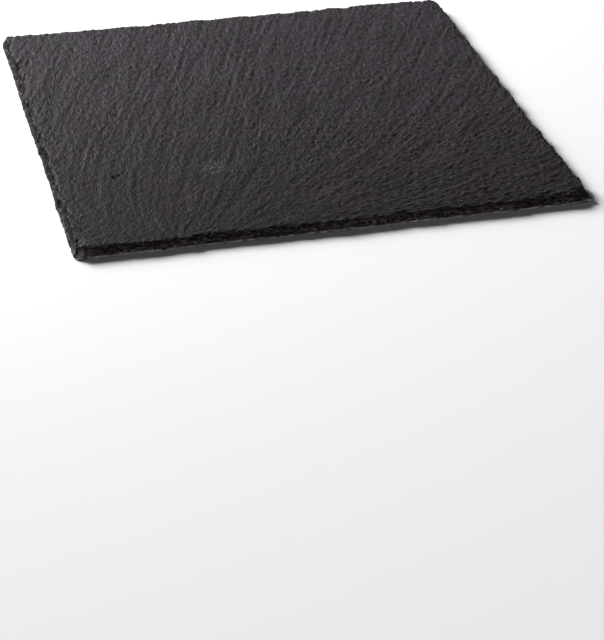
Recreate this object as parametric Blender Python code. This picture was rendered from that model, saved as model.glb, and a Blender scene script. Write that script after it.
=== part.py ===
"""A square slate slab, split along its cleavage and trimmed by hand on all four edges.

Run it with: blender --background --python part.py

Units are metres and +Z is up. The origin is at the middle of the underside, which lies
on z = 0. The front edge faces -Y. The split started near its left end, so the ridges of
the top face fan out from there. The slab is one stone, so it is one object.
"""

import math
import random
from collections import namedtuple

import bmesh
import bpy
from mathutils import Vector, noise

MM = 0.001

# The slab as a whole
SIDE = 200 * MM
THICKNESS = 4.4 * MM
HALF = SIDE / 2

# How finely it is cut into faces
CELLS = 48
SHARP_ANGLE = math.radians(28)

# The trimmed edges. A blow flakes a shallow scar off the upper face, so the edge slopes
# in from a sharp arris near the bottom to the edge of the top face. The bevel is given
# at the two ends, left and right or front and back. Chipping scales the scars' depth.
Edge = namedtuple("Edge", "bevel chipping wander seed")
EDGES = {
    "front": Edge((0.45 * MM, 0.30 * MM), chipping=0.45, wander=0.30 * MM, seed=11),
    "right": Edge((0.70 * MM, 0.40 * MM), chipping=0.75, wander=0.45 * MM, seed=23),
    "back": Edge((0.40 * MM, 0.60 * MM), chipping=0.60, wander=0.40 * MM, seed=37),
    "left": Edge((0.50 * MM, 0.70 * MM), chipping=0.75, wander=0.35 * MM, seed=53),
}
WANDER_LENGTH = 55 * MM
Scar = namedtuple("Scar", "centre half_width depth")
BLOW_SPACING = 15 * MM
BLOW_DEPTH = (0.7 * MM, 1.9 * MM)
CHIP_SPACING = 6.5 * MM
CHIP_DEPTH = (0.25 * MM, 0.8 * MM)
SCAR_OVERLAP = 1.25
PULL_REACH = 16 * MM

# The edge's section, from the underside up. Each row has its height as a share of the
# thickness and its shares of the edge's bevel and of its scars. The jump between the
# two middle rows is a ledge, where the stone parted along a layer.
Row = namedtuple("Row", "height bevel scars")
SECTION = (
    Row(height=0.00, bevel=0.15, scars=0.40),
    Row(height=0.10, bevel=0.00, scars=0.22),
    Row(height=0.46, bevel=0.30, scars=0.50),
    Row(height=0.58, bevel=0.65, scars=0.85),
    Row(height=1.00, bevel=1.00, scars=1.00),
)
UNDERSIDE, ARRIS, TOP = 0, 1, len(SECTION) - 1
LEDGE_SWING = 0.14
LEDGE_LENGTH = 17 * MM

# The corners, worn or struck off: (side of X, side of Y) to the radius left there
CORNER_RADIUS = {
    (-1, -1): 1.5 * MM,
    (1, -1): 0.8 * MM,
    (1, 1): 4.5 * MM,
    (-1, 1): 2.5 * MM,
}
# The front right corner has lost two flakes: one from its upper face, so the tip there is
# a thin point, and one from below, so that point stands off the ground
TIP_FLARE = 1.0 * MM
TIP_SCAR = 3.8 * MM
TIP_REACH = 9 * MM
SPALL_REACH = 11 * MM
SPALL_LIFT = 1.0 * MM
SPALL_CUT = 2.0 * MM

# The top face's relief: a low swell, and the ridges of the split. They fan out from where
# the split started and bend until they all lean the same way: LEAN is their run along X
# for each unit along Y.
START_X = -62.2 * MM
START_Y = -106.0 * MM
LEAN = 0.374
LEFT_DEPTH = 26 * MM
RIGHT_DEPTH = 150 * MM
FAN_CORE = 35 * MM
FAN_TURN = 4.0
FAN_WIDTH = 310 * MM
FAN_POWER = 1.31
TINY = 0.05 * MM
RIDGE_WIDTH = 9 * MM
RIDGE_STRETCH = 3.2
RIDGE_HEIGHT = 0.30 * MM
SWELL_LENGTH = 75 * MM
SWELL_HEIGHT = 0.20 * MM

SLATE_COLOUR = (0.035, 0.033, 0.036, 1.0)
SLATE_ROUGHNESS = 0.55


def clear_scene():
    for old in list(bpy.data.objects):
        bpy.data.objects.remove(old, do_unlink=True)


def scars_along(edge, spacing, depths, shift):
    """Scars left by one round of blows, a little unevenly spaced along an edge."""
    dice = random.Random(edge.seed + shift)
    count = round(SIDE / spacing) + 2
    scars = []
    for number in range(count):
        centre = -HALF + (number - 0.5 + dice.uniform(-0.35, 0.35)) * spacing
        half_width = SCAR_OVERLAP * spacing * dice.uniform(0.45, 0.85)
        scars.append(Scar(centre, half_width, dice.uniform(*depths)))
    return scars


def make_scars():
    """Heavy blows first, then small chips between them, for each edge."""
    return {
        name: (
            scars_along(edge, BLOW_SPACING, BLOW_DEPTH, 0),
            scars_along(edge, CHIP_SPACING, CHIP_DEPTH, 1),
        )
        for name, edge in EDGES.items()
    }


SCARS = make_scars()


def deepest(scars, along):
    """The scars are shallow bowls, so where two meet the deeper one is what is left."""
    return max(
        0.0,
        max(s.depth * (1 - ((along - s.centre) / s.half_width) ** 2) for s in scars),
    )


def cut_back(name, along, row):
    """How far in from the nominal edge the stone ends, at one place on one row."""
    edge = EDGES[name]
    section = SECTION[row]
    low_end, high_end = edge.bevel
    bevel = low_end + (high_end - low_end) * (along + HALF) / SIDE
    scarred = edge.chipping * sum(deepest(scars, along) for scars in SCARS[name])
    drift = edge.wander * noise.noise(Vector((along / WANDER_LENGTH, edge.seed, 0)))
    if name == "right":
        near_tip = max(0.0, 1 - (HALF + along) / TIP_REACH) ** 2
        bevel += TIP_SCAR * near_tip
        drift -= TIP_FLARE * near_tip
    return section.bevel * bevel + section.scars * scarred + drift


def corner_loss(along, across_sign, name):
    """What a rounded corner takes off an edge near either of its ends."""
    loss = 0.0
    for end in (-1, 1):
        key = (end, across_sign) if name in ("front", "back") else (across_sign, end)
        radius = CORNER_RADIUS[key]
        short = 1 - (HALF - end * along) / radius
        if short > 0:
            loss = max(loss, (1 - math.sqrt(0.5)) * radius * short**2)
    return loss


def pull(distance):
    """How much of an edge's shift a point takes, at a distance in from that edge."""
    return max(0.0, 1 - distance / PULL_REACH) ** 2


def trimmed(x, y, row):
    """Where a point of the nominal square lies once the four edges are trimmed."""
    shift_x = shift_y = 0.0
    for name, sign, across, along in (
        ("left", -1, x, y),
        ("right", 1, x, y),
        ("front", -1, y, x),
        ("back", 1, y, x),
    ):
        share = pull(HALF - sign * across)
        if share == 0:
            continue
        cut = cut_back(name, along, row) + corner_loss(along, sign, name)
        if name in ("left", "right"):
            shift_x -= sign * share * cut
        else:
            shift_y -= sign * share * cut
    return x + shift_x, y + shift_y


def ridge_through(x, y):
    """Which ridge runs through a place: where it would start if it were straight.

    The fan is shallow to the left of the start and deep to the right.
    """
    aside, onward = x - START_X, y - START_Y
    off_axis = math.hypot(aside, FAN_CORE)
    rightness = ((1 + aside / off_axis) / 2) ** FAN_TURN
    depth = LEFT_DEPTH + (RIGHT_DEPTH - LEFT_DEPTH) * rightness
    loosened = (1 + rightness * off_axis / FAN_WIDTH) ** FAN_POWER
    gathered = math.exp(-onward / depth) / loosened
    return (aside - LEAN * onward) / (1 - gathered)


def ridge_noise(x, y):
    """Noise drawn out along the ridges, at one width all over the slab.

    The spread is 1 where the ridges run straight and less where the fan gathers them.
    Where it grows, finer noise fades in, as real ridges part in two while they spread.
    """
    across = ridge_through(x, y)
    slope_x = (ridge_through(x + TINY, y) - across) / TINY
    slope_y = (ridge_through(x, y + TINY) - across) / TINY
    spread = 1 / math.hypot(slope_x, slope_y)
    onward = math.hypot(x - START_X, y - START_Y)
    octave = math.log2(spread)
    step = math.floor(octave)
    blend = octave - step
    total = 0.0
    for layer, weight in ((step, 1 - blend), (step + 1, blend)):
        place = (across * 2.0**layer / RIDGE_WIDTH, onward / (RIDGE_STRETCH * RIDGE_WIDTH), layer)
        total += weight * noise.noise(place)
    return total / math.hypot(1 - blend, blend)


def relief(x, y):
    """Height of the top face above its mean plane."""
    swell = noise.noise(Vector((x / SWELL_LENGTH, y / SWELL_LENGTH, 4.7)))
    return RIDGE_HEIGHT * ridge_noise(x, y) + SWELL_HEIGHT * swell


def height_of(x, y, row):
    """Height of a point of the edge's section. The ledge swings up and down along it."""
    if row == TOP:
        return THICKNESS + relief(x, y)
    if row == UNDERSIDE:
        return 0.0
    swing = LEDGE_SWING * noise.noise(Vector((x / LEDGE_LENGTH, y / LEDGE_LENGTH, 1.3)))
    share = SECTION[row].height * (1 + swing / SECTION[ARRIS + 1].height)
    return THICKNESS * share


def spall(x, y):
    """How strongly the flake lost from below the front right corner acts at a point."""
    return max(0.0, 1 - math.hypot(HALF - x, HALF + y) / SPALL_REACH)


def shaped(x, y, row):
    """The real place of a vertex that stands at a nominal place on a row."""
    place = Vector((*trimmed(x, y, row), height_of(x, y, row)))
    lost = spall(x, y)
    if row == ARRIS:
        place.z += SPALL_LIFT * lost
    if row == UNDERSIDE:
        place += SPALL_CUT * lost * Vector((-1, 1, 0)).normalized()
    return place


def boundary(bm):
    return [edge for edge in bm.edges if edge.is_boundary]


def slab_bmesh():
    """A grid for the top face, its border drawn down in rows and closed below.

    The border has twice as many points as the grid, and the cells along it are fans.
    """
    bm = bmesh.new()
    row_of = bm.verts.layers.int.new("row")
    bmesh.ops.create_grid(bm, x_segments=CELLS, y_segments=CELLS, size=HALF)
    bmesh.ops.subdivide_edges(bm, edges=boundary(bm), cuts=1)
    bmesh.ops.poke(bm, faces=[face for face in bm.faces if len(face.verts) > 4])
    for vert in bm.verts:
        vert[row_of] = TOP
    for row in range(TOP - 1, UNDERSIDE - 1, -1):
        drawn = bmesh.ops.extrude_edge_only(bm, edges=boundary(bm))
        for item in drawn["geom"]:
            if isinstance(item, bmesh.types.BMVert):
                item[row_of] = row
    bmesh.ops.contextual_create(bm, geom=boundary(bm))
    for vert in bm.verts:
        vert.co = shaped(vert.co.x, vert.co.y, vert[row_of])
    bmesh.ops.recalc_face_normals(bm, faces=bm.faces)
    return bm


def fit_to_side(bm):
    """Centres the trimmed outline and brings it to SIDE both ways."""
    for axis in (0, 1):
        places = [vert.co[axis] for vert in bm.verts]
        middle = (max(places) + min(places)) / 2
        scale = SIDE / (max(places) - min(places))
        for vert in bm.verts:
            vert.co[axis] = (vert.co[axis] - middle) * scale


def slate_material():
    material = bpy.data.materials.new("slate")
    material.use_nodes = True
    shader = material.node_tree.nodes["Principled BSDF"]
    shader.inputs["Base Color"].default_value = SLATE_COLOUR
    shader.inputs["Roughness"].default_value = SLATE_ROUGHNESS
    shader.inputs["Metallic"].default_value = 0.0
    return material


def build_slab(collection):
    bm = slab_bmesh()
    fit_to_side(bm)
    mesh = bpy.data.meshes.new("slate_slab")
    bm.to_mesh(mesh)
    bm.free()
    mesh.shade_smooth()
    mesh.set_sharp_from_angle(angle=SHARP_ANGLE)
    mesh.materials.append(slate_material())
    slab = bpy.data.objects.new("slate_slab", mesh)
    collection.objects.link(slab)
    return slab


def main():
    clear_scene()
    collection = bpy.data.collections.new("Slate slab")
    bpy.context.scene.collection.children.link(collection)
    build_slab(collection)


if __name__ == "__main__":
    main()
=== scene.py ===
"""A square slab of riven slate, lying on a pale studio floor.

The file is laid out as an add-on: settings, an operator for the slab, an operator for the
studio, and a panel that lists them. Run as a script, main() registers it and calls them.
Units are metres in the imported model's frame: +Z is up and the front edge faces -Y.
"""

import functools
import math
import random
from collections import namedtuple

import bmesh
import bpy
from bpy.props import FloatProperty, FloatVectorProperty, IntProperty, PointerProperty
from mathutils import Matrix, Vector, noise


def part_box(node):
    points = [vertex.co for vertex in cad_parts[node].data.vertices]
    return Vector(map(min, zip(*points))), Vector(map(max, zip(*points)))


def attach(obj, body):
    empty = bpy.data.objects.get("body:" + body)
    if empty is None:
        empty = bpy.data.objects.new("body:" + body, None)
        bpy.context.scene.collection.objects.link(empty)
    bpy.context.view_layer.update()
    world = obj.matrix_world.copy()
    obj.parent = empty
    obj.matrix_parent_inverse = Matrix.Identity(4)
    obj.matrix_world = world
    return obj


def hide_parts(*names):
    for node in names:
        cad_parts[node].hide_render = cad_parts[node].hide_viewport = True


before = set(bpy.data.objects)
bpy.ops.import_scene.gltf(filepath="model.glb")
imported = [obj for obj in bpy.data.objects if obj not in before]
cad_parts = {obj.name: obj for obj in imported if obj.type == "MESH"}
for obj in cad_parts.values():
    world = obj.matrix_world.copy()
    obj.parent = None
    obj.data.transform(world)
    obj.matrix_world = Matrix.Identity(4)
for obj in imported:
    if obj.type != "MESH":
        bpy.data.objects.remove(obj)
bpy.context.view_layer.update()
SLAB_LOW, SLAB_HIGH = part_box("slate_slab")

bl_info = {
    "name": "Riven slate slab",
    "version": (1, 0, 0),
    "blender": (4, 5, 0),
    "location": "3D View > Sidebar > Slate",
    "description": "Builds a square slab of riven slate and a small studio for it",
    "category": "Add Mesh",
}

MM = 0.001
SIDE = SLAB_HIGH.x - SLAB_LOW.x
HALF = SIDE / 2

# The trimmed edges, as they are on the solid. Each blow of the trimmer flaked a shallow
# scar off the upper face. The bevel is given at an edge's two ends.
Edge = namedtuple("Edge", "bevel chipping wander crumble seed")
EDGES = {
    "front": Edge((0.45 * MM, 0.30 * MM), 0.45, 0.30 * MM, crumble=0.3, seed=11),
    "right": Edge((0.70 * MM, 0.40 * MM), 0.75, 0.45 * MM, crumble=0.6, seed=23),
    "back": Edge((0.40 * MM, 0.60 * MM), 0.60, 0.40 * MM, crumble=0.5, seed=37),
    "left": Edge((0.50 * MM, 0.70 * MM), 0.75, 0.35 * MM, crumble=1.5, seed=53),
}
WANDER_LENGTH = 55 * MM
Scar = namedtuple("Scar", "centre half_width depth")
BLOW_SPACING = 15 * MM
BLOW_DEPTH = (0.7 * MM, 1.9 * MM)
CHIP_SPACING = 6.5 * MM
CHIP_DEPTH = (0.25 * MM, 0.8 * MM)

# A scar's half width and how far it strays from its place, as shares of the spacing
SCAR_HALF_WIDTH = (0.45, 0.85)
SCAR_OVERLAP = 1.25
SCAR_SCATTER = 0.35

# The edge's section, from the underside up: height as a share of the thickness, and the
# shares of the bevel and of the scars that are cut away there
ARRIS_HEIGHT = 0.10
LEDGE_LOW, LEDGE_HIGH = 0.46, 0.58
Row = namedtuple("Row", "height bevel scars")
SECTION = (
    Row(height=0.00, bevel=0.15, scars=0.40),
    Row(height=ARRIS_HEIGHT, bevel=0.00, scars=0.22),
    Row(height=LEDGE_LOW, bevel=0.30, scars=0.50),
    Row(height=LEDGE_HIGH, bevel=0.65, scars=0.85),
    Row(height=1.00, bevel=1.00, scars=1.00),
)
LEDGE_SWING = 0.14
LEDGE_LENGTH = 17 * MM
RIM_HEIGHTS = (0.90, 0.80, 0.70, 0.62, 0.56, 0.48, 0.38, 0.29, 0.21, 0.14, 0.10, 0.06, 0.00)

# Scars too small for the solid: splinters off the upper edge and nicks in the arris. The
# foot and the top are heights as shares of the thickness.
SPLINTER_SPACING = 2.6 * MM
SPLINTER_DEPTH = (0.0, 0.35 * MM)
SPLINTER_FOOT = 0.25
NICK_SPACING = 3.7 * MM
NICK_DEPTH = (0.0, 0.28 * MM)
NICK_TOP = 0.40

# The corners, by side of X and side of Y. The front right one has lost two flakes: one
# from its upper face, so the tip there is a thin point, and one from below.
CORNER_RADIUS = {
    (-1, -1): 1.5 * MM,
    (1, -1): 0.8 * MM,
    (1, 1): 4.5 * MM,
    (-1, 1): 2.5 * MM,
}
ROUND_LOSS = 1 - math.sqrt(0.5)
TIP_FLARE = 1.0 * MM
TIP_SCAR = 3.8 * MM
TIP_REACH = 9 * MM
SPALL_REACH = 11 * MM
SPALL_LIFT = 1.0 * MM
SPALL_CUT = 2.0 * MM

# How far in from an edge its shift is felt by the top face's points
SHIFT_REACH = 24 * MM
FINE_REACH = 9 * MM

# The broken face of the rim: upright facets, the ends of the cleavage layers, and grain.
# FACET_CHANGE is how far a facet's noise moves on from the underside to the top.
FACET_WIDTH = 2.0 * MM
FACET_CHANGE = 1.2
FACET_DEPTH = 0.36 * MM
LAYER_LENGTH = 6.0 * MM
LAYER_THICKNESS = 0.45 * MM
LAYER_DEPTH = 0.30 * MM
CRUMB_SIZE = 0.8 * MM
CRUMB_DEPTH = 0.10 * MM

# Where the split started. Its streaks fan out from there and bend until they all lean
# the same way: LEAN is their run along X for each unit along Y. The bend is used up over
# LEFT_DEPTH to the left of the start and over RIGHT_DEPTH to its right, FAN_CORE and
# FAN_TURN say how soon the one turns into the other, and FAN_WIDTH and FAN_POWER how the
# streaks loosen to the right. SLOPE_STEP is the step over which their spread is measured.
START_X = -62.2 * MM
START_Y = -106.0 * MM
LEAN = 0.374
LEFT_DEPTH = 26 * MM
RIGHT_DEPTH = 150 * MM
FAN_CORE = 35 * MM
FAN_TURN = 4.0
FAN_WIDTH = 310 * MM
FAN_POWER = 1.31
SLOPE_STEP = 0.05 * MM

# The top face's relief. Its ridges, folds and streaks follow the fan, and a stretch is how
# many times longer than wide they are. The lumps between them are as long as wide.
RIDGE_STRETCH = 3.2
FOLD_WIDTH = 2.0 * MM
FOLD_STRETCH = 14.0
FOLD_SHARE = 0.68
STREAK_STRETCH = 2.6
WOBBLE = 0.35 * MM
WOBBLE_LENGTH = 3.0 * MM
LUMP_SIZE = 1.5 * MM
LUMP_HEIGHT = 0.19 * MM
SWELL_LENGTH = 75 * MM

# Towards the front left corner, behind the split's start, the streaks lose CALM_SHARE of
# their height, and the folds and lumps lose these shares of that
CALM_SHARE = 0.65
CALM_FOLD_SHARE = 0.6
CALM_LUMP_SHARE = 0.2
CALM_REACH = 170 * MM
CALM_CORNER = (-HALF, -HALF, 0.0)

# The underside is coarser by this factor, both in its mesh and in its streaks. The hollow
# share makes more of it stand off the floor, and the middle, in streak heights, is where
# its crest is 0.
UNDERSIDE_COARSER = 3
UNDERSIDE_STRETCH = 3.0
UNDERSIDE_HOLLOW = 0.1
UNDERSIDE_MIDDLE = 0.5

# Each relief has its own slice of the noise, so that no two are alike
SLICES = {
    "facets": 0,
    "ledge": 1.3,
    "wobble": 3.1,
    "flakes": 3.3,
    "swell": 4.7,
    "layers": 5,
    "powder": 6.1,
    "next flake": 7.7,
    "lumps": 8.3,
    "crumbs": 9,
    "specks": 9.4,
    "ridges": 0,
    "folds": 20,
    "streaks": 40,
    "underside": 60,
}

# Thin layers that have come away along the edges of the top face, the second one less
# far in, and the crumbled stone that they leave
FLAKE_LENGTH = 8.0 * MM
FLAKE_REACH = 7.0 * MM
FLAKE_THICKNESS = 0.20 * MM
FLAKE_STEP = 0.35 * MM
FLAKE_RAGGEDNESS = 0.6 * MM
FLAKE_SETBACK = 0.25
CRUMBLE_REACH = 3.2 * MM
CRUMBLE_SIZE = 1.3 * MM
CRUMBLE_DEPTH = 0.32 * MM
CRUMBLE_SHARE = 0.35

# Pits in the top face. The first is the one that catches the eye.
Pit = namedtuple("Pit", "x y radius depth")
NAMED_PITS = (
    Pit(-75.0 * MM, -46.0 * MM, 1.5 * MM, 0.65 * MM),
    Pit(-73.0 * MM, -44.9 * MM, 1.3 * MM, 0.50 * MM),
)
PIT_COUNT = 46
PIT_SEED = 71
PIT_RADIUS = (0.6 * MM, 1.3 * MM)
PIT_DEPTH = (0.08 * MM, 0.26 * MM)
EDGE_PIT_COUNT = 34
EDGE_PIT_RADIUS = (0.7 * MM, 1.5 * MM)
EDGE_PIT_DEPTH = (0.25 * MM, 0.60 * MM)
EDGE_PIT_REACH = (0.8 * MM, 3.2 * MM)

# Painted shade: hollows are painted darker where shadow would fall in them. PIT_SHADE is the
# depth that lowers a point's crest by one. On the rim HOLLOW_START is added to the depth,
# and a crumbled edge counts as deeper, so the crumbled left rim is painted darker.
PIT_SHADE = 0.20 * MM
HOLLOW_START = 0.27 * MM

# Stone crushed to pale powder, in patches: along the border of the face, and in a band
# round the arris, which is also a painted highlight where the arris would catch the
# light. A crumbled edge has lost POWDER_LOSS of its powder.
POWDER_PATCH = 2.5 * MM
POWDER_CONTRAST = 1.3
BORDER_POWDER = 0.80
BORDER_POWDER_REACH = 2.0 * MM
BORDER_POWDER_LEVEL = 0.25
ARRIS_POWDER_HIGHLIGHT_BAND = (0.05, 0.12)
ARRIS_POWDER_HIGHLIGHT_LEVEL = 0.85
POWDER_LOSS = 0.62

# A bruise left by a knock on the face, the struck front left corner, and a faint border on
# the left, all as specks of powder
Bruise = namedtuple("Bruise", "x y reach")
BRUISES = (
    Bruise(-37.5 * MM, -46.0 * MM, 9 * MM),
    Bruise(-97 * MM, -97 * MM, 6 * MM),
)
BRUISE_GAIN = 2.5
SPECK_SIZE = 1.6 * MM
SPECK_LEVEL = 0.35
SPECKLED_BORDER = 5.0 * MM
SPECKLED_SHARE = 0.06

# Relief and colour too fine for the mesh, made in the materials. The grain, the pores and
# the flecks of mica are 0.1 to 0.2 mm on real slate and would not show, so they are drawn
# as coarse as they need to show.
STREAKLET_WIDTH = 0.8 * MM
STREAKLET_STRETCH = 2.8
STREAKLET_HEIGHT = 0.46 * MM
GRAIN_SIZE = 0.45 * MM
GRAIN_HEIGHT = 0.12 * MM
PORE_SIZE = 0.8 * MM
# The flecks are painted glints: pale colour where grains of mica would catch the light.
FLECK_SIZE = 0.7 * MM
MOTTLE_SIZE = 1.1 * MM
MOTTLE_HEIGHT = 0.12 * MM
PATCH_SIZE = 22 * MM
CAST_SIZE = 13 * MM

# The broken face's patterns, squashed along Z because they follow the layers, so a torn
# line is 0.5 mm thick. Up the rim, between the pale and the dark level, the colour is
# painted darker towards the bevel under the face, as painted shade.
TORN_LINE_SIZE = 4.0 * MM
TORN_LINE_SQUASH = (1, 1, 8)
TORN_HEIGHT = 0.30 * MM
BLOTCH_SIZE = 2.0 * MM
TORN_FLECK_SIZE = 1.05 * MM
BLOTCH_SQUASH = (1, 1, 3)
PALE_LEVEL, DARK_LEVEL = 0.8 * MM, 3.6 * MM

# Painted light: the stone's colour is made paler along this direction, mostly towards the back,
# by this share from its middle to its edge, in place of the light falling off across the slab.
PAINTED_LIGHT_DRIFT = (0.5, 10.0, 0.0)
PAINTED_LIGHT_SHARE = 0.26

# Values that each of the mesh's points carries, the last three for the materials
HEIGHT, PLUME, CREST_AND_SHADE, BRUISE_AND_HIGHLIGHT = "height", "plume", "crest_and_shade", "bruise"

# Points packed closer along the border and towards the front, where the detail is finest
BORDER_REACH = 24 * MM
BORDER_SQUEEZE = 0.45
FORWARD_PULL = 0.20
WELD_DISTANCE = 0.1 * MM
SHARP_ANGLE = math.radians(40)


def linear(hex_colour):
    """An sRGB colour such as "#2E2C2F" as the linear values that a shader takes."""
    channels = (int(hex_colour[i : i + 2], 16) / 255 for i in (1, 3, 5))
    return tuple(c / 12.92 if c <= 0.04045 else ((c + 0.055) / 1.055) ** 2.4 for c in channels)


class SlateShapeSettings(bpy.types.PropertyGroup):
    """Sizes of the slab that a user may want to change."""

    thickness: FloatProperty(
        name="Thickness",
        description="From the underside to the mean plane of the top face",
        default=4.4 * MM,
        unit="LENGTH",
    )
    ridge_width: FloatProperty(
        name="Ridge width",
        description="Width of the broad ridges that fan out from the start of the split",
        default=9 * MM,
        unit="LENGTH",
    )
    ridge_height: FloatProperty(
        name="Ridge height",
        description="Height of the broad ridges",
        default=0.20 * MM,
        unit="LENGTH",
    )
    streak_width: FloatProperty(
        name="Streak width",
        description="Width of the fine streaks that cover the top face",
        default=1.15 * MM,
        unit="LENGTH",
    )
    streak_height: FloatProperty(
        name="Streak height",
        description="Height of the fine streaks",
        default=0.34 * MM,
        unit="LENGTH",
    )
    swell_height: FloatProperty(
        name="Swell height",
        description="Height of the slow swell of the whole face",
        default=0.20 * MM,
        unit="LENGTH",
    )
    columns: IntProperty(
        name="Columns",
        description="Cells of the top face along X, a multiple of three",
        default=330,
    )
    lines: IntProperty(
        name="Lines",
        description="Cells of the top face along Y, a multiple of three",
        default=222,
    )


class SlateFinishSettings(bpy.types.PropertyGroup):
    """Colours of the stone."""

    stone: FloatVectorProperty(
        name="Stone",
        description="The riven face's own colour",
        subtype="COLOR",
        size=3,
        default=linear("#2D292D"),
    )
    purple: FloatVectorProperty(
        name="Purple cast",
        description="Colour of the faint purple patches",
        subtype="COLOR",
        size=3,
        default=linear("#31292F"),
    )
    green: FloatVectorProperty(
        name="Green cast",
        description="Colour of the faint green and blue patches",
        subtype="COLOR",
        size=3,
        default=linear("#2A2C2D"),
    )
    powder: FloatVectorProperty(
        name="Powder",
        description="Colour of bruised stone, where powder stays in the grain",
        subtype="COLOR",
        size=3,
        default=linear("#9C969C"),
    )
    # Painted glint: the colour of pale flecks that stand in for grains of mica catching the
    # light.
    mica_glint: FloatVectorProperty(
        name="Mica",
        description="Colour of the flecks where a grain of mica catches the light",
        subtype="COLOR",
        size=3,
        default=linear("#A8A2A8"),
    )
    broken: FloatVectorProperty(
        name="Broken edge",
        description="Colour of the stone broken across its layers",
        subtype="COLOR",
        size=3,
        default=linear("#1C171B"),
    )
    torn: FloatVectorProperty(
        name="Torn layers",
        description="Colour of the paler blotches on the broken edge",
        subtype="COLOR",
        size=3,
        default=linear("#463F44"),
    )


class StudioSettings(bpy.types.PropertyGroup):
    """The camera, the lights and the floor."""

    azimuth: FloatProperty(
        name="Camera azimuth",
        description="Turn of the view round the slab, from the front towards the right",
        default=math.radians(-14.65),
        subtype="ANGLE",
    )
    elevation: FloatProperty(
        name="Camera elevation",
        description="Angle of the view above the horizon",
        default=math.radians(30.66),
        subtype="ANGLE",
    )
    roll: FloatProperty(
        name="Camera roll",
        description="Turn of the picture about the line of view",
        default=math.radians(0.70),
        subtype="ANGLE",
    )
    distance: FloatProperty(
        name="Camera distance",
        description="From the camera to the point it is aimed at",
        default=731.9 * MM,
        unit="LENGTH",
    )
    floor: FloatVectorProperty(
        name="Floor",
        description="Colour of the studio floor",
        subtype="COLOR",
        size=3,
        default=linear("#E8E8E9"),
    )
    key_strength: FloatProperty(
        name="Key light",
        description="Strength of the large far light behind the slab on the left",
        default=4.8,
    )
    near_power: FloatProperty(
        name="Near light",
        description="Power of the soft light close to the slab, in the key light's direction",
        default=7.0,
        unit="POWER",
    )
    sky: FloatProperty(
        name="Sky light",
        description="Strength of the light that comes from all round",
        default=1.0,
    )


def smooth_step(low, high, value):
    """Rises from 0 to 1 between two values, level at both ends."""
    share = min(1.0, max(0.0, (value - low) / (high - low)))
    return share * share * (3 - 2 * share)


def scars_along(edge, spacing, depths, shift):
    """Scars left by one round of blows, a little unevenly spaced along an edge."""
    dice = random.Random(edge.seed + shift)
    scars = []
    for number in range(round(SIDE / spacing) + 2):
        centre = -HALF + (number - 0.5 + dice.uniform(-SCAR_SCATTER, SCAR_SCATTER)) * spacing
        half_width = SCAR_OVERLAP * spacing * dice.uniform(*SCAR_HALF_WIDTH)
        scars.append(Scar(centre, half_width, dice.uniform(*depths)))
    return scars


def deepest(scars, along):
    """The scars are shallow bowls, so where two meet the deeper one is what is left."""
    return max(
        0.0,
        max(s.depth * (1 - ((along - s.centre) / s.half_width) ** 2) for s in scars),
    )


SCARS = {
    name: (
        scars_along(edge, BLOW_SPACING, BLOW_DEPTH, 0),
        scars_along(edge, CHIP_SPACING, CHIP_DEPTH, 1),
    )
    for name, edge in EDGES.items()
}
SPLINTERS = {
    name: scars_along(edge, SPLINTER_SPACING, SPLINTER_DEPTH, 2) for name, edge in EDGES.items()
}
NICKS = {name: scars_along(edge, NICK_SPACING, NICK_DEPTH, 3) for name, edge in EDGES.items()}


@functools.lru_cache(maxsize=None)
def edge_profile(name, along):
    """The bevel, the scars, the drift, the splinters and the nicks at one place on an edge."""
    edge = EDGES[name]
    low_end, high_end = edge.bevel
    bevel = low_end + (high_end - low_end) * (along + HALF) / SIDE
    scarred = edge.chipping * sum(deepest(scars, along) for scars in SCARS[name])
    drift = edge.wander * noise.noise(Vector((along / WANDER_LENGTH, edge.seed, 0)))
    splinters = deepest(SPLINTERS[name], along)
    nicks = deepest(NICKS[name], along)
    return bevel, scarred, drift, splinters, nicks


def section_at(height):
    """The shares of the bevel and of the scars at any height, between the section's rows."""
    for low, high in zip(SECTION, SECTION[1:]):
        if height <= high.height:
            share = (height - low.height) / (high.height - low.height)
            bevel = low.bevel + share * (high.bevel - low.bevel)
            scars = low.scars + share * (high.scars - low.scars)
            return bevel, scars
    return 1.0, 1.0


def main_cut(name, along, height):
    """How far in from the nominal edge the stone ends, as on the solid."""
    bevel, scarred, drift, _, _ = edge_profile(name, along)
    bevel_share, scar_share = section_at(height)
    if name == "right":
        near_tip = falloff(HALF + along, TIP_REACH)
        bevel += TIP_SCAR * near_tip
        drift -= TIP_FLARE * near_tip
    return bevel_share * bevel + scar_share * scarred + drift


def fine_cut(name, along, height, thickness):
    """What the splinters, nicks, facets, layers and grain add to the main cut."""
    seed = EDGES[name].seed
    _, _, _, splinters, nicks = edge_profile(name, along)
    level = height * thickness
    facets, layers, crumbs = (
        noise.noise((along / length, rise, seed + SLICES[kind]))
        for kind, length, rise in (
            ("facets", FACET_WIDTH, FACET_CHANGE * height),
            ("layers", LAYER_LENGTH, level / LAYER_THICKNESS),
            ("crumbs", CRUMB_SIZE, level / CRUMB_SIZE),
        )
    )
    return (
        splinters * smooth_step(SPLINTER_FOOT, 1.0, height)
        + nicks * (1 - smooth_step(ARRIS_HEIGHT, NICK_TOP, height))
        + FACET_DEPTH * facets
        + LAYER_DEPTH * layers
        + CRUMB_DEPTH * crumbs
    )


def corner_loss(name, along, side):
    """What a rounded corner takes off an edge near either of its ends."""
    loss = 0.0
    for end in (-1, 1):
        key = (end, side) if name in ("front", "back") else (side, end)
        radius = CORNER_RADIUS[key]
        short = 1 - (HALF - end * along) / radius
        if short > 0:
            loss = max(loss, ROUND_LOSS * radius * short**2)
    return loss


def falloff(distance, reach):
    """Falls from 1 at no distance to 0 at the reach, steeply at first."""
    return max(0.0, 1 - distance / reach) ** 2


def sides_of(x, y):
    """For each edge: its name, its side of the axis, the place across it and along it."""
    return (
        ("left", -1, x, y),
        ("right", 1, x, y),
        ("front", -1, y, x),
        ("back", 1, y, x),
    )


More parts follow.
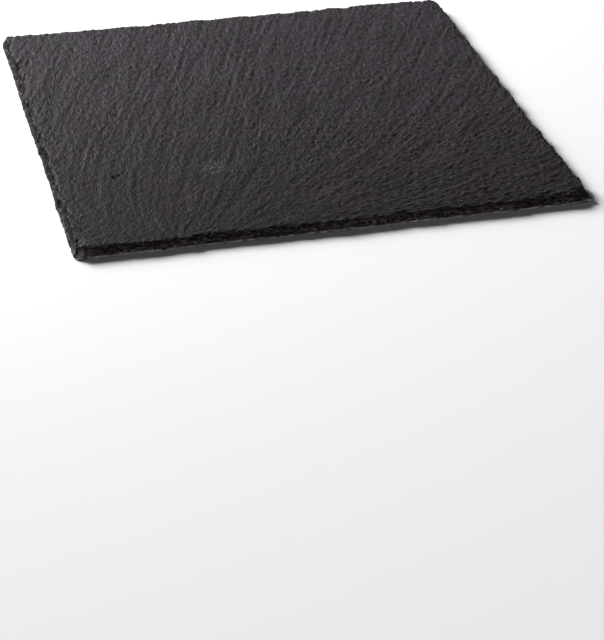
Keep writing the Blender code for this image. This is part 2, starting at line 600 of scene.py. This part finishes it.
def trimmed(x, y, height, thickness):
    """Where a point of the nominal square lies once the edges are trimmed.

    Also gives the nearest edge's name and the distance left to it on the top face.
    """
    shift_x = shift_y = 0.0
    nearest = ("front", 1.0)
    for name, side, across, along in sides_of(x, y):
        inward = HALF - side * across
        if inward > SHIFT_REACH:
            continue
        broad = falloff(inward, SHIFT_REACH)
        cut = main_cut(name, along, height) + corner_loss(name, along, side)
        shift = broad * cut
        left_over = inward - cut * (1 - broad)
        if inward < FINE_REACH:
            fine = fine_cut(name, along, height, thickness)
            narrow = falloff(inward, FINE_REACH)
            shift += narrow * fine
            left_over -= fine * (1 - narrow)
        if left_over < nearest[1]:
            nearest = (name, left_over)
        if name in ("left", "right"):
            shift_x -= side * shift
        else:
            shift_y -= side * shift
    return x + shift_x, y + shift_y, nearest


def streak_through(x, y):
    """Which streak runs through a place: where it would start if it were straight.

    The fan is shallow to the left of the start and deep to the right.
    """
    aside, onward = x - START_X, y - START_Y
    off_axis = math.hypot(aside, FAN_CORE)
    rightness = ((1 + aside / off_axis) / 2) ** FAN_TURN
    depth = LEFT_DEPTH + (RIGHT_DEPTH - LEFT_DEPTH) * rightness
    loosened = (1 + rightness * off_axis / FAN_WIDTH) ** FAN_POWER
    gathered = math.exp(-onward / depth) / loosened
    return (aside - LEAN * onward) / (1 - gathered)


def plume_place(x, y):
    """A place as the streak through it, the distance from START, and the streaks' spread.

    The spread is 1 where the streaks run straight and less where the fan gathers them.
    """
    across = streak_through(x, y)
    slope_x = (streak_through(x + SLOPE_STEP, y) - across) / SLOPE_STEP
    slope_y = (streak_through(x, y + SLOPE_STEP) - across) / SLOPE_STEP
    return across, math.hypot(x - START_X, y - START_Y), 1 / math.hypot(slope_x, slope_y)


def streaks(plume, width, stretch, kind):
    """Noise drawn out along the streaks, at one width all over the slab.

    Where the fan widens, finer noise fades in, as real streaks part in two while they
    spread.
    """
    across, onward, spread = plume
    octave = math.log2(spread)
    step = math.floor(octave)
    blend = octave - step
    total = 0.0
    for layer, weight in ((step, 1 - blend), (step + 1, blend)):
        spot = (across * 2.0**layer / width, onward / (stretch * width), layer + SLICES[kind])
        total += weight * noise.noise(spot)
    return total / math.hypot(1 - blend, blend)


def scattered_pits():
    """Pits all over the face, and a row of deeper ones along the crumbled left edge."""
    dice = random.Random(PIT_SEED)
    inside = HALF - 5 * MM
    pits = []
    for _ in range(PIT_COUNT):
        x, y = dice.uniform(-inside, inside), dice.uniform(-inside, inside)
        pits.append(Pit(x, y, dice.uniform(*PIT_RADIUS), dice.uniform(*PIT_DEPTH)))
    for _ in range(EDGE_PIT_COUNT):
        x, y = dice.uniform(*EDGE_PIT_REACH) - HALF, dice.uniform(-HALF, HALF)
        pits.append(Pit(x, y, dice.uniform(*EDGE_PIT_RADIUS), dice.uniform(*EDGE_PIT_DEPTH)))
    return pits


PITS = (*NAMED_PITS, *scattered_pits())


def pitted(x, y):
    """Depth of the pits at a place."""
    depth = 0.0
    for pit in PITS:
        if abs(x - pit.x) < pit.radius and abs(y - pit.y) < pit.radius:
            share = ((x - pit.x) ** 2 + (y - pit.y) ** 2) / pit.radius**2
            depth = max(depth, pit.depth * (1 - share))
    return depth


def worn_border(x, y, nearest):
    """Depth lost along an edge of the top face: thin layers gone, and crumbled stone."""
    name, distance = nearest
    edge = EDGES[name]
    if distance > FLAKE_REACH:
        return 0.0
    along = x if name in ("front", "back") else y
    ragged = noise.noise(Vector((x / CRUMBLE_SIZE, y / CRUMBLE_SIZE, edge.seed)))
    start = edge.seed + SLICES["flakes"]
    lost = 0.0
    for layer in (0, 1):
        broad = noise.noise((along / FLAKE_LENGTH, start, SLICES["next flake"] * layer))
        reach = FLAKE_REACH * edge.crumble * (broad - FLAKE_SETBACK * layer)
        reach += FLAKE_RAGGEDNESS * ragged
        lost += 1 - smooth_step(reach - FLAKE_STEP, reach + FLAKE_STEP, distance)
    crumbled = edge.crumble * falloff(distance, CRUMBLE_REACH) * (CRUMBLE_SHARE + ragged)
    return FLAKE_THICKNESS * lost + CRUMBLE_DEPTH * max(0.0, crumbled)


class SlabForm:
    """Gives every point of the slab its place, from one set of shape settings."""

    def __init__(self, shape):
        self.thickness = shape.thickness
        self.ridge_width = shape.ridge_width
        self.ridge_height = shape.ridge_height
        self.streak_width = shape.streak_width
        self.streak_height = shape.streak_height
        self.swell_height = shape.swell_height

    def fine_relief(self, x, y):
        """The folds and streaks, which wobble a little, and the lumps between them."""
        across, onward, spread = plume_place(x, y)
        wobble = noise.noise((x / WOBBLE_LENGTH, y / WOBBLE_LENGTH, SLICES["wobble"]))
        plume = across + WOBBLE * wobble, onward, spread
        folds = streaks(plume, FOLD_WIDTH, FOLD_STRETCH, "folds")
        fine = streaks(plume, self.streak_width, STREAK_STRETCH, "streaks")
        lumps = noise.noise((x / LUMP_SIZE, y / LUMP_SIZE, SLICES["lumps"]))
        calm = CALM_SHARE * (1 - smooth_step(0, CALM_REACH, math.hypot(x + HALF, y + HALF)))
        drawn_out = FOLD_SHARE * (1 - CALM_FOLD_SHARE * calm) * folds + (1 - calm) * fine
        lumped = LUMP_HEIGHT * (1 - CALM_LUMP_SHARE * calm) * lumps
        return self.streak_height * drawn_out + lumped

    def face_height(self, x, y, nearest):
        """Height of the top face, and its crest: how high it stands in the fine relief, less the
        depth of pits and worn borders, which paints them darker as painted shade.
        """
        swell = noise.noise((x / SWELL_LENGTH, y / SWELL_LENGTH, SLICES["swell"]))
        ridges = streaks(plume_place(x, y), self.ridge_width, RIDGE_STRETCH, "ridges")
        height = self.thickness + self.swell_height * swell + self.ridge_height * ridges
        relief = self.fine_relief(x, y)
        # Painted shade: the depth lost in pits and worn borders lowers the crest, which paints
        # them darker.
        lost = pitted(x, y) + worn_border(x, y, nearest)
        return height + relief - lost, relief / self.streak_height - lost / PIT_SHADE

    def underside_height(self, x, y):
        """The underside is riven as well, and rests on the tops of its own ridges."""
        width = UNDERSIDE_COARSER * self.streak_width
        relief = streaks(plume_place(x, -y), width, UNDERSIDE_STRETCH, "underside")
        return self.streak_height * max(0.0, relief + UNDERSIDE_HOLLOW)

    @functools.lru_cache(maxsize=None)
    def edge_height(self, x, y):
        """Height of the top face's border, above a point of the rim."""
        place_x, place_y, nearest = trimmed(x, y, 1.0, self.thickness)
        return self.face_height(place_x, place_y, nearest)[0]

    def rim_height(self, x, y, height):
        """Height of a point on the rim. The ledge swings up and down along the edge."""
        swing = noise.noise((x / LEDGE_LENGTH, y / LEDGE_LENGTH, SLICES["ledge"]))
        swing *= LEDGE_SWING
        swing *= min(1.0, height / LEDGE_LOW, (1 - height) / (1 - LEDGE_HIGH))
        return self.edge_height(x, y) * (height + swing)

    def place(self, x, y, height):
        """A vertex's place and crest. A height of 1 is the top face, below 0 the underside.

        On the rim the crest is painted shade only: it falls in the hollows that torn layers
        leave, and most on a crumbled edge, so the left rim, which faces the key light, is painted
        darker.
        """
        level = max(0.0, height)
        place_x, place_y, nearest = trimmed(x, y, level, self.thickness)
        if height == 1:
            face_height, crest_and_shade = self.face_height(place_x, place_y, nearest)
            return Vector((place_x, place_y, face_height)), crest_and_shade
        if height < 0:
            relief = self.underside_height(place_x, place_y)
            crest_and_shade = relief / self.streak_height - UNDERSIDE_MIDDLE
            return Vector((place_x, place_y, relief)), crest_and_shade
        name = nearest[0]
        along = x if name in ("front", "back") else y
        # Painted shade: the deeper the hollow and the more crumbled the edge, the darker the rim
        # is painted.
        hollow_shade = fine_cut(name, along, level, self.thickness) + HOLLOW_START
        crest_and_shade = -EDGES[name].crumble * hollow_shade / PIT_SHADE
        spot = Vector((place_x, place_y, self.rim_height(x, y, height)))
        lost = max(0.0, 1 - math.hypot(HALF - x, HALF + y) / SPALL_REACH)
        if lost:
            raised = 1 - smooth_step(ARRIS_HEIGHT, LEDGE_LOW, height)
            below = max(0.0, 1 - height / ARRIS_HEIGHT)
            spot.z += SPALL_LIFT * lost * raised * (1 - below)
            spot += SPALL_CUT * lost * below * Vector((-1, 1, 0)).normalized()
        return spot, crest_and_shade


def bruised(x, y, height):
    """How far the stone is crushed to powder, along the arris and where it was knocked. The pale
    band along the arris is also a painted highlight.
    """
    inward, name = min((HALF - side * across, name) for name, side, across, _ in sides_of(x, y))
    patchy = POWDER_CONTRAST * noise.noise((x / POWDER_PATCH, y / POWDER_PATCH, SLICES["powder"]))
    crushed = knocked = 0.0
    if height == 1:
        border = BORDER_POWDER * falloff(inward, BORDER_POWDER_REACH)
        crushed = border * (BORDER_POWDER_LEVEL + patchy)
        knocked = SPECKLED_SHARE * falloff(HALF + x, SPECKLED_BORDER)
    elif height >= 0:
        # Painted highlight: the pale band round the arris stands for the arris catching the
        # light, as well as for powder.
        band = 1 - smooth_step(*ARRIS_POWDER_HIGHLIGHT_BAND, abs(height - ARRIS_HEIGHT))
        crushed = band * (ARRIS_POWDER_HIGHLIGHT_LEVEL + patchy)
    crushed *= 1 - POWDER_LOSS * EDGES[name].crumble
    for bruise in BRUISES:
        near = falloff(math.hypot(x - bruise.x, y - bruise.y), bruise.reach)
        knocked = max(knocked, min(1.0, BRUISE_GAIN * near))
    speckled = SPECK_LEVEL + noise.noise((x / SPECK_SIZE, y / SPECK_SIZE, SLICES["specks"]))
    return min(1.0, max(0.0, crushed, knocked * speckled))


def squeezed(coordinate):
    """Moves a grid line towards the border, where the detail is finest."""
    share = max(0.0, 1 - (HALF - abs(coordinate)) / BORDER_REACH)
    shift = BORDER_SQUEEZE * BORDER_REACH * (share**2 - share**3)
    return coordinate + math.copysign(shift, coordinate)


def drawn_forward(y):
    """Packs the grid's lines closer towards the front, where the streaks cross them."""
    return y - FORWARD_PULL * HALF * (1 - (y / HALF) ** 2)


def boundary(bm):
    """The edges that have only one face."""
    return [edge for edge in bm.edges if edge.is_boundary]


def slab_bmesh(shape):
    """A fine grid for the top face, its border drawn down in rows, and a coarser underside."""
    bm = bmesh.new()
    height_of = bm.verts.layers.float.new(HEIGHT)
    bmesh.ops.create_grid(bm, x_segments=shape.columns, y_segments=shape.lines, size=HALF)
    for vert in bm.verts:
        vert[height_of] = 1.0
    for height in RIM_HEIGHTS:
        drawn = bmesh.ops.extrude_edge_only(bm, edges=boundary(bm))
        for item in drawn["geom"]:
            if isinstance(item, bmesh.types.BMVert):
                item[height_of] = height
                item.co.z = height - 1
    lower = bmesh.ops.create_grid(
        bm,
        x_segments=shape.columns // UNDERSIDE_COARSER,
        y_segments=shape.lines // UNDERSIDE_COARSER,
        size=HALF,
        matrix=Matrix.Translation((0, 0, -1)),
    )
    for vert in lower["verts"]:
        vert[height_of] = -1.0
    lower_edges = [edge for edge in boundary(bm) if edge.verts[0][height_of] < 0]
    bmesh.ops.subdivide_edges(bm, edges=lower_edges, cuts=UNDERSIDE_COARSER - 1)
    ring = [vert for vert in bm.verts if vert.is_boundary]
    for vert in ring:
        vert[height_of] = 0.0
    bmesh.ops.remove_doubles(bm, verts=ring, dist=WELD_DISTANCE)
    bmesh.ops.poke(bm, faces=[face for face in bm.faces if len(face.verts) > 4])
    form = SlabForm(shape)
    plume_of = bm.verts.layers.float_vector.new(PLUME)
    crest_of = bm.verts.layers.float.new(CREST_AND_SHADE)
    bruise_of = bm.verts.layers.float.new(BRUISE_AND_HIGHLIGHT)
    for vert in bm.verts:
        x, y = squeezed(vert.co.x), squeezed(drawn_forward(vert.co.y))
        height = vert[height_of]
        vert.co, vert[crest_of] = form.place(x, y, height)
        vert[plume_of] = plume_place(vert.co.x, vert.co.y)
        vert[bruise_of] = bruised(x, y, height)
    bmesh.ops.recalc_face_normals(bm, faces=bm.faces)
    return bm


def fit_to_solid(bm):
    """Brings the outline to the solid's, which the finer cuts have shrunk a little."""
    for axis in (0, 1):
        places = [vert.co[axis] for vert in bm.verts]
        low, high = min(places), max(places)
        scale = (SLAB_HIGH[axis] - SLAB_LOW[axis]) / (high - low)
        for vert in bm.verts:
            vert.co[axis] = SLAB_LOW[axis] + (vert.co[axis] - low) * scale


def node(tree, kind, inputs=(), **settings):
    """Adds a node, sets it, and gives its inputs values, or links from other nodes.

    The inputs are a list in the node's own order, or a dictionary by name or number. On
    a Mix node 0 is the factor, 2 and 3 are its two values, and 6 and 7 its two colours.
    """
    made = tree.nodes.new(kind)
    for name, value in settings.items():
        setattr(made, name, value)
    pairs = inputs.items() if isinstance(inputs, dict) else enumerate(inputs)
    for key, value in pairs:
        if isinstance(value, bpy.types.Node):
            value = value.outputs[0]
        if isinstance(value, bpy.types.NodeSocket):
            tree.links.new(value, made.inputs[key])
        else:
            made.inputs[key].default_value = value
    return made


def new_material(name):
    """A material with only a Principled shader, and that shader."""
    material = bpy.data.materials.new(name)
    material.use_nodes = True
    return material, material.node_tree.nodes["Principled BSDF"]


def streak_texture(tree, width, stretch):
    """The same drawn-out noise as streaks(), for relief too fine for the mesh."""
    plume = node(tree, "ShaderNodeAttribute", attribute_name=PLUME).outputs["Vector"]
    across, onward, spread = node(tree, "ShaderNodeSeparateXYZ", [plume]).outputs
    octave = node(tree, "ShaderNodeMath", [spread, 2.0], operation="LOGARITHM")
    step = node(tree, "ShaderNodeMath", [octave], operation="FLOOR")
    blend = node(tree, "ShaderNodeMath", [octave], operation="FRACT")
    drawn_out = node(tree, "ShaderNodeMath", [onward, stretch], operation="DIVIDE")
    layers = []
    for extra in (0, 1):
        level = node(tree, "ShaderNodeMath", [step, extra], operation="ADD")
        scale = node(tree, "ShaderNodeMath", [2.0, level], operation="POWER")
        scaled = node(tree, "ShaderNodeMath", [across, scale], operation="MULTIPLY")
        spot = node(tree, "ShaderNodeCombineXYZ", [scaled, drawn_out, level])
        settings = {"Vector": spot, "Scale": 1 / width, "Detail": 1.0}
        layers.append(node(tree, "ShaderNodeTexNoise", settings))
    return node(tree, "ShaderNodeMix", {0: blend, 2: layers[0], 3: layers[1]}).outputs[0]


def riven_slate(finish):
    """Slate split along its cleavage and left as it parted."""
    # Split slate is dull: its flat grains of mica give it hardly any sheen. Its crests
    # are painted lighter than the grooves between the streaks as a painted sheen, and its
    # pits, deep hollows and worn borders darker as painted shade. Pale flecks are painted
    # glints, where grains of mica would catch the light. Its colour drifts between purple
    # and a greener grey, and is painted paler towards the back as painted light.
    material, shader = new_material("slate, riven")
    tree = material.node_tree
    place = node(tree, "ShaderNodeTexCoord").outputs["Object"]
    crest_and_shade = node(tree, "ShaderNodeAttribute", attribute_name=CREST_AND_SHADE).outputs["Fac"]
    bruise = node(tree, "ShaderNodeAttribute", attribute_name=BRUISE_AND_HIGHLIGHT).outputs["Fac"]
    fine = streak_texture(tree, STREAKLET_WIDTH, STREAKLET_STRETCH)
    noises = {}
    for name, size, detail in (
        ("grain", GRAIN_SIZE, 2.0),
        ("fleck", FLECK_SIZE, 0.0),
        ("pore", PORE_SIZE, 0.0),
        ("mottle", MOTTLE_SIZE, 2.0),
        ("cast", CAST_SIZE, 1.0),
        ("patch", PATCH_SIZE, 2.0),
    ):
        settings = {"Vector": place, "Scale": 1 / size, "Detail": detail}
        noises[name] = node(tree, "ShaderNodeTexNoise", settings)
    corner = node(tree, "ShaderNodeVectorMath", [place, CALM_CORNER], operation="DISTANCE")
    ramp = [corner.outputs["Value"], 0.0, CALM_REACH, 1 - CALM_SHARE, 1.0]
    calm = node(tree, "ShaderNodeMapRange", ramp, interpolation_type="SMOOTHSTEP")
    fine = node(tree, "ShaderNodeMix", {0: calm, 2: noises["mottle"], 3: fine}).outputs[0]
    # A noise lies mostly between 0.25 and 0.75, and only its high end makes a patch of
    # colour, a fleck or powder in the grain
    purple = node(tree, "ShaderNodeMapRange", [noises["patch"], 0.48, 0.70, 0.0, 0.5])
    green = node(tree, "ShaderNodeMapRange", [noises["cast"], 0.58, 0.74, 0.0, 0.5])
    # Painted glints: the flecks stand in for grains of mica catching the light.
    fleck = node(tree, "ShaderNodeMapRange", [noises["fleck"], 0.72, 0.82, 0.0, 0.18])
    powder = node(tree, "ShaderNodeMapRange", [noises["grain"], 0.48, 0.64, 0.0, 0.7])
    powder = node(tree, "ShaderNodeMath", [powder, bruise], operation="MULTIPLY")
    colour = (*finish.stone, 1)
    for share, other in (
        (purple, finish.purple),
        (green, finish.green),
        (fleck, finish.mica_glint),
        (powder, finish.powder),
    ):
        mixed = {0: share, 6: colour, 7: (*other, 1)}
        colour = node(tree, "ShaderNodeMix", mixed, data_type="RGBA").outputs[2]
    # Painted sheen and shade: a point's crest makes its colour lighter on the crests and darker
    # in the grooves, pits and worn borders.
    tone_and_painted_light = node(tree, "ShaderNodeMapRange", [crest_and_shade, -1.5, 0.75, 0.40, 1.30])
    # Painted light: the colour is made paler towards the back and darker towards the front.
    drift = node(tree, "ShaderNodeVectorMath", [place, PAINTED_LIGHT_DRIFT], operation="DOT_PRODUCT")
    # While a source runs from lowest to highest, its factor on the colour runs from low
    # to high: streaklets, grain, deep hollows (painted shade), the calm corner, pores and the
    # drift (painted light, paler towards the back)
    for source, lowest, highest, low, high in (
        (fine, 0.25, 0.75, 0.50, 1.50),
        (noises["grain"], 0.25, 0.75, 0.80, 1.20),
        (crest_and_shade, -3.5, -1.0, 0.15, 1.0),
        (calm, 1 - CALM_SHARE, 1.0, 0.88, 1.0),
        (noises["pore"], 0.22, 0.32, 0.45, 1.0),
        (drift.outputs["Value"], -1.0, 1.0, 1 - PAINTED_LIGHT_SHARE, 1 + PAINTED_LIGHT_SHARE),
    ):
        share = node(tree, "ShaderNodeMapRange", [source, lowest, highest, low, high])
        tone_and_painted_light = node(tree, "ShaderNodeMath", [tone_and_painted_light, share], operation="MULTIPLY")
    colour = node(
        tree, "ShaderNodeVectorMath", {0: colour, "Scale": tone_and_painted_light}, operation="SCALE"
    )
    tree.links.new(colour.outputs[0], shader.inputs["Base Color"])
    dullness = node(tree, "ShaderNodeMapRange", [noises["mottle"], 0.3, 0.7, 0.48, 0.66])
    tree.links.new(dullness.outputs[0], shader.inputs["Roughness"])
    shader.inputs["Specular IOR Level"].default_value = 0.04
    normal = node(tree, "ShaderNodeBump", {"Height": fine, "Distance": STREAKLET_HEIGHT})
    for source, height in ((noises["mottle"], MOTTLE_HEIGHT), (noises["grain"], GRAIN_HEIGHT)):
        settings = {"Height": source.outputs[0], "Distance": height, "Normal": normal}
        normal = node(tree, "ShaderNodeBump", settings)
    tree.links.new(normal.outputs[0], shader.inputs["Normal"])
    return material


def broken_slate(finish):
    """Slate broken across its layers by the trimmer's blows."""
    # The broken face is a pile of torn layer ends. It swallows light, so it is darker
    # and duller than the split face, with short level lines, pale bruises, pale flecks as
    # painted glints, a pale band at the arris that is also a painted highlight, and painted
    # shade, near black, in the hollows where layers are torn out and on the crumbled left
    # rim. Its colour is painted paler at the foot and darker up the bevel, as painted shade.
    material, shader = new_material("slate, broken")
    tree = material.node_tree
    place = node(tree, "ShaderNodeTexCoord").outputs["Object"]
    crest_and_shade = node(tree, "ShaderNodeAttribute", attribute_name=CREST_AND_SHADE).outputs["Fac"]
    bruise = node(tree, "ShaderNodeAttribute", attribute_name=BRUISE_AND_HIGHLIGHT).outputs["Fac"]
    layered, flattened = (
        node(tree, "ShaderNodeVectorMath", [place, squash], operation="MULTIPLY")
        for squash in (BLOTCH_SQUASH, TORN_LINE_SQUASH)
    )
    noises = {}
    for name, source, size, detail in (
        ("layers", flattened, TORN_LINE_SIZE, 2.0),
        ("blotch", layered, BLOTCH_SIZE, 3.0),
        ("grain", place, GRAIN_SIZE, 2.0),
        ("fleck", layered, TORN_FLECK_SIZE, 1.0),
    ):
        settings = {"Vector": source, "Scale": 1 / size, "Detail": detail}
        noises[name] = node(tree, "ShaderNodeTexNoise", settings)
    blotch = node(tree, "ShaderNodeMapRange", [noises["blotch"], 0.42, 0.64, 0.0, 1.0])
    # Painted glints on the broken face as well: pale flecks where mica would catch the light.
    fleck = node(tree, "ShaderNodeMapRange", [noises["fleck"], 0.62, 0.76, 0.0, 0.6])
    colour = (*finish.broken, 1)
    for share, other in (
        (blotch, finish.torn),
        (fleck, finish.mica_glint),
        (bruise, finish.powder),
    ):
        mixed = {0: share, 6: colour, 7: (*other, 1)}
        colour = node(tree, "ShaderNodeMix", mixed, data_type="RGBA").outputs[2]
    level = node(tree, "ShaderNodeSeparateXYZ", [place]).outputs["Z"]
    # Painted shade: the rim is painted paler at its foot and darker up towards the bevel under
    # the face.
    painted_rim_shade = node(tree, "ShaderNodeMapRange", [level, PALE_LEVEL, DARK_LEVEL, 1.35, 0.45])
    lines = node(tree, "ShaderNodeMapRange", [noises["layers"], 0.35, 0.65, 0.55, 1.55])
    # Painted shade: hollows of the rim, and most the crumbled left rim, are painted darker, near
    # black at the deepest.
    hollow_shade = node(tree, "ShaderNodeMapRange", [crest_and_shade, -4.0, 0.0, 0.03, 1.40])
    for share in (painted_rim_shade, hollow_shade):
        lines = node(tree, "ShaderNodeMath", [lines, share], operation="MULTIPLY")
    colour = node(tree, "ShaderNodeVectorMath", {0: colour, "Scale": lines}, operation="SCALE")
    tree.links.new(colour.outputs[0], shader.inputs["Base Color"])
    shader.inputs["Roughness"].default_value = 0.85
    shader.inputs["Specular IOR Level"].default_value = 0.03
    normal = node(tree, "ShaderNodeBump", {"Height": noises["layers"], "Distance": TORN_HEIGHT})
    settings = {"Height": noises["grain"], "Distance": GRAIN_HEIGHT, "Normal": normal}
    normal = node(tree, "ShaderNodeBump", settings)
    tree.links.new(normal.outputs[0], shader.inputs["Normal"])
    return material


class SLATE_OT_add_slab(bpy.types.Operator):
    """Add the riven slab in place of the plain solid"""

    bl_idname = "slate.add_slab"
    bl_label = "Add slate slab"

    def execute(self, context):
        bm = slab_bmesh(context.scene.slate_shape)
        fit_to_solid(bm)
        mesh = bpy.data.meshes.new("riven_slab")
        mesh.materials.append(riven_slate(context.scene.slate_finish))
        mesh.materials.append(broken_slate(context.scene.slate_finish))
        height_of = bm.verts.layers.float[HEIGHT]
        for face in bm.faces:
            on_rim = any(0.0 < vert[height_of] < 1.0 for vert in face.verts)
            face.material_index = int(on_rim)
        bm.to_mesh(mesh)
        bm.free()
        mesh.shade_smooth()
        mesh.set_sharp_from_angle(angle=SHARP_ANGLE)
        slab = bpy.data.objects.new("riven_slab", mesh)
        context.scene.collection.objects.link(slab)
        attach(slab, "root")
        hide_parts("slate_slab")
        return {"FINISHED"}


class SLATE_OT_add_studio(bpy.types.Operator):
    """Add the floor, the lights and the camera"""

    bl_idname = "slate.add_studio"
    bl_label = "Add studio"

    def execute(self, context):
        studio = context.scene.slate_studio
        add_floor(context.scene, studio)
        add_lights(context.scene, studio)
        add_camera(context.scene, studio)
        context.scene.view_settings.view_transform = "Standard"
        return {"FINISHED"}


FLOOR_HALF_SIDE = 8.0

# The camera's aim on the floor, and its focal length in pixels of a picture whose larger
# side is its height. The sensor's size is Blender's usual one, in millimetres.
AIM = Vector((-29.9, -158.9, 0)) * MM
FOCAL_PIXELS = 2129
PICTURE_HEIGHT = 640
SENSOR = 36.0

# Where both lights come from, the near one from NEAR_DISTANCE, and the sky's two colours
# with the band, as sines of the angle above the horizon, in which one turns into the other
KEY_DIRECTION = Vector((-0.49, 0.745, 0.45))
KEY_SPREAD = math.radians(20)
NEAR_DISTANCE = 0.72
NEAR_SIZE = 0.40
SKY_LOW = linear("#F3F3F5")
SKY_HIGH = linear("#3F3F40")
SKY_BAND = (0.11, 0.24)


def add_floor(scene, studio):
    """A matt pale floor, large enough to reach the horizon in a low view."""
    # Matt paint scatters the light evenly: no highlight, only the slab's soft shadow.
    bm = bmesh.new()
    bmesh.ops.create_grid(bm, x_segments=1, y_segments=1, size=FLOOR_HALF_SIDE)
    mesh = bpy.data.meshes.new("floor")
    bm.to_mesh(mesh)
    bm.free()
    material, shader = new_material("studio floor, matt paint")
    shader.inputs["Base Color"].default_value = (*studio.floor, 1)
    shader.inputs["Roughness"].default_value = 0.9
    shader.inputs["Specular IOR Level"].default_value = 0.1
    mesh.materials.append(material)
    floor = bpy.data.objects.new("floor", mesh)
    scene.collection.objects.link(floor)


def add_lights(scene, studio):
    """A soft key behind the slab on the left, and a sky that is pale near the horizon."""
    key = bpy.data.lights.new("key", "SUN")
    key.angle = KEY_SPREAD
    key.energy = studio.key_strength
    near = bpy.data.lights.new("near light", "AREA")
    near.shape = "DISK"
    near.size = NEAR_SIZE
    near.energy = studio.near_power
    for light in (key, near):
        lamp = bpy.data.objects.new(light.name, light)
        scene.collection.objects.link(lamp)
        lamp.location = KEY_DIRECTION.normalized() * NEAR_DISTANCE
        lamp.rotation_euler = KEY_DIRECTION.to_track_quat("Z", "Y").to_euler()
    world = bpy.data.worlds.new("studio sky")
    scene.world = world
    world.use_nodes = True
    tree = world.node_tree
    sky = tree.nodes["Background"]
    direction = node(tree, "ShaderNodeTexCoord").outputs["Generated"]
    parts = node(tree, "ShaderNodeSeparateXYZ", [direction]).outputs
    level = node(tree, "ShaderNodeMapRange", [parts["Z"], *SKY_BAND, 0.0, 1.0])
    mixed = {0: level, 6: (*SKY_LOW, 1), 7: (*SKY_HIGH, 1)}
    colour = node(tree, "ShaderNodeMix", mixed, data_type="RGBA").outputs[2]
    tree.links.new(colour, sky.inputs["Color"])
    sky.inputs["Strength"].default_value = studio.sky


def add_camera(scene, studio):
    """A long lens at the photograph's angle. The slab lies in the upper part of the picture."""
    camera = bpy.data.cameras.new("camera")
    camera.sensor_width = SENSOR
    camera.lens = FOCAL_PIXELS * SENSOR / PICTURE_HEIGHT
    rig = bpy.data.objects.new("camera", camera)
    scene.collection.objects.link(rig)
    azimuth, elevation = studio.azimuth, studio.elevation
    back = Vector(
        (
            math.sin(azimuth) * math.cos(elevation),
            -math.cos(azimuth) * math.cos(elevation),
            math.sin(elevation),
        )
    )
    turn = back.to_track_quat("Z", "Y").to_matrix().to_4x4()
    roll = Matrix.Rotation(studio.roll, 4, "Z")
    rig.matrix_world = Matrix.Translation(AIM + back * studio.distance) @ turn @ roll
    scene.camera = rig


class SLATE_PT_panel(bpy.types.Panel):
    """Lists the settings and the operators in the sidebar"""

    bl_idname = "SLATE_PT_panel"
    bl_label = "Slate slab"
    bl_space_type = "VIEW_3D"
    bl_region_type = "UI"
    bl_category = "Slate"

    def draw(self, context):
        scene = context.scene
        for settings in (scene.slate_shape, scene.slate_finish, scene.slate_studio):
            box = self.layout.box()
            for name in settings.bl_rna.properties.keys():
                if name not in ("rna_type", "name"):
                    box.prop(settings, name)
        self.layout.operator("slate.add_slab")
        self.layout.operator("slate.add_studio")


CLASSES = (
    SlateShapeSettings,
    SlateFinishSettings,
    StudioSettings,
    SLATE_OT_add_slab,
    SLATE_OT_add_studio,
    SLATE_PT_panel,
)


def register():
    for cls in CLASSES:
        bpy.utils.register_class(cls)
    bpy.types.Scene.slate_shape = PointerProperty(type=SlateShapeSettings)
    bpy.types.Scene.slate_finish = PointerProperty(type=SlateFinishSettings)
    bpy.types.Scene.slate_studio = PointerProperty(type=StudioSettings)


def unregister():
    del bpy.types.Scene.slate_studio
    del bpy.types.Scene.slate_finish
    del bpy.types.Scene.slate_shape
    for cls in reversed(CLASSES):
        bpy.utils.unregister_class(cls)


def main():
    register()
    bpy.ops.slate.add_slab()
    bpy.ops.slate.add_studio()


if __name__ == "__main__":
    main()
